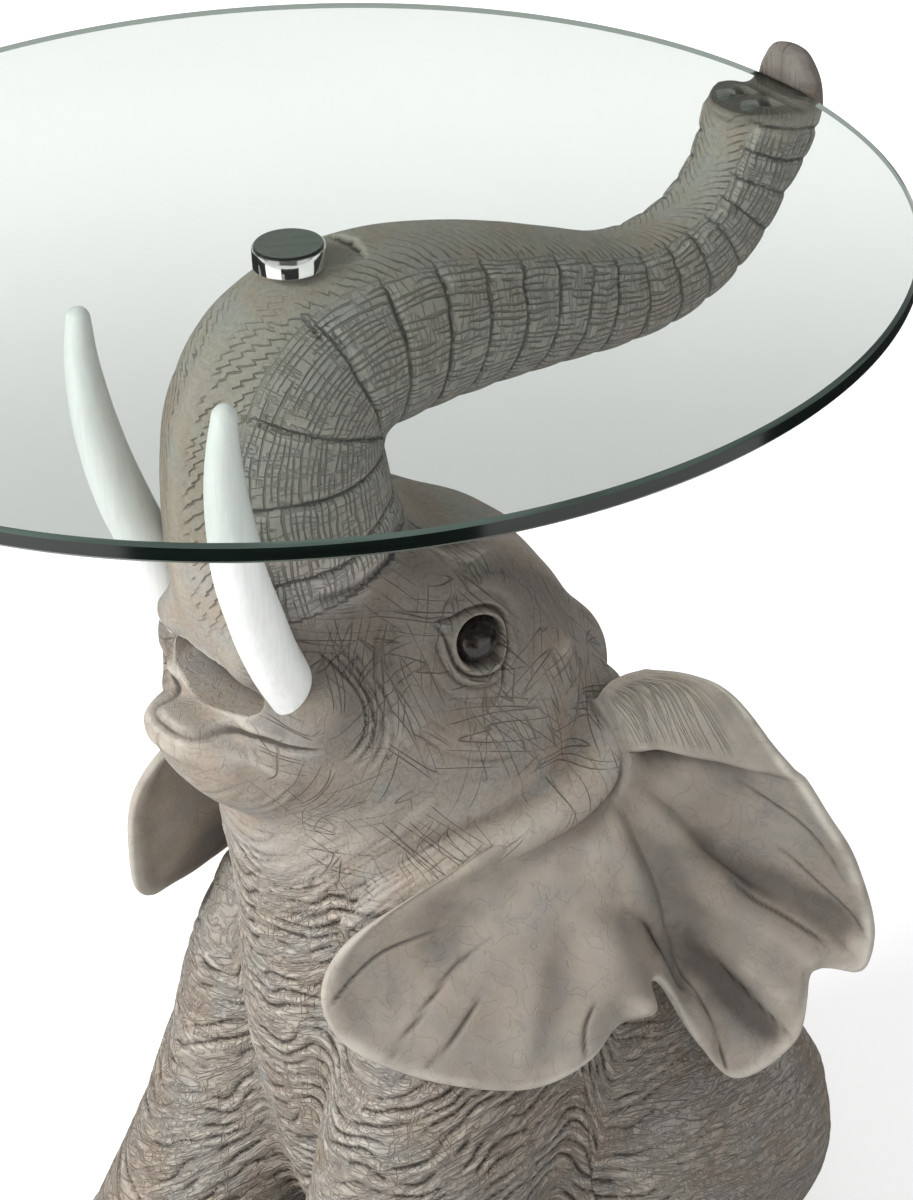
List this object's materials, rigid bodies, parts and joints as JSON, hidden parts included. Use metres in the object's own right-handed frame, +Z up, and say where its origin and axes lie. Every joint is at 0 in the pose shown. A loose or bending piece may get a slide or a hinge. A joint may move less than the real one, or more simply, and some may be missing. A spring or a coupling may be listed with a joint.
{
  "type": "elephant side table",
  "caption": "Seated resin elephant whose raised, back-curled trunk carries a round clear glass top on a steel bonding disc.",
  "frame": {"origin": "on the floor, at the middle of the footprint box; the glass axis stands 6.5 mm towards the elephant's face (-Y) from it", "axes": "+Z up through the glass, -Y the way the elephant faces, +X the elephant's left side"},
  "size_m": [0.4999, 0.5129, 0.5727],
  "materials": {
    "resin": "matt weathered grey-brown, dark in the creases, dry-brushed pale on the ridges",
    "tusk": "satin white",
    "eye": "high gloss",
    "brass": "plain",
    "steel": "plain",
    "disc": "mirror polished",
    "bond": "clear",
    "glass": "clear with a faint green-grey tint, polished and chamfered edge",
    "bumper": "clear silicone",
    "plug": "matt",
    "felt": "felt"
  },
  "bodies": {
    "base": {"elephant_body": "resin", "ear_left": "resin", "ear_right": "resin", "tusk_left": "tusk", "tusk_right": "tusk", "eye_left": "eye", "eye_right": "eye", "threaded_insert": "brass", "stud": "steel", "trunk_bumpers": "bumper", "fill_plug": "plug", "felt_pads": "felt"},
    "top": {"glass_top": "glass", "bonding_disc": "disc", "bond_film": "bond"}
  },
  "joints": [
    {"name": "glass_turn", "type": "hinge", "parent": "base", "child": "top", "pos_m": [0, -0.0065, 0.5422], "axis": [0, 0, 1], "continuous": true}
  ]
}
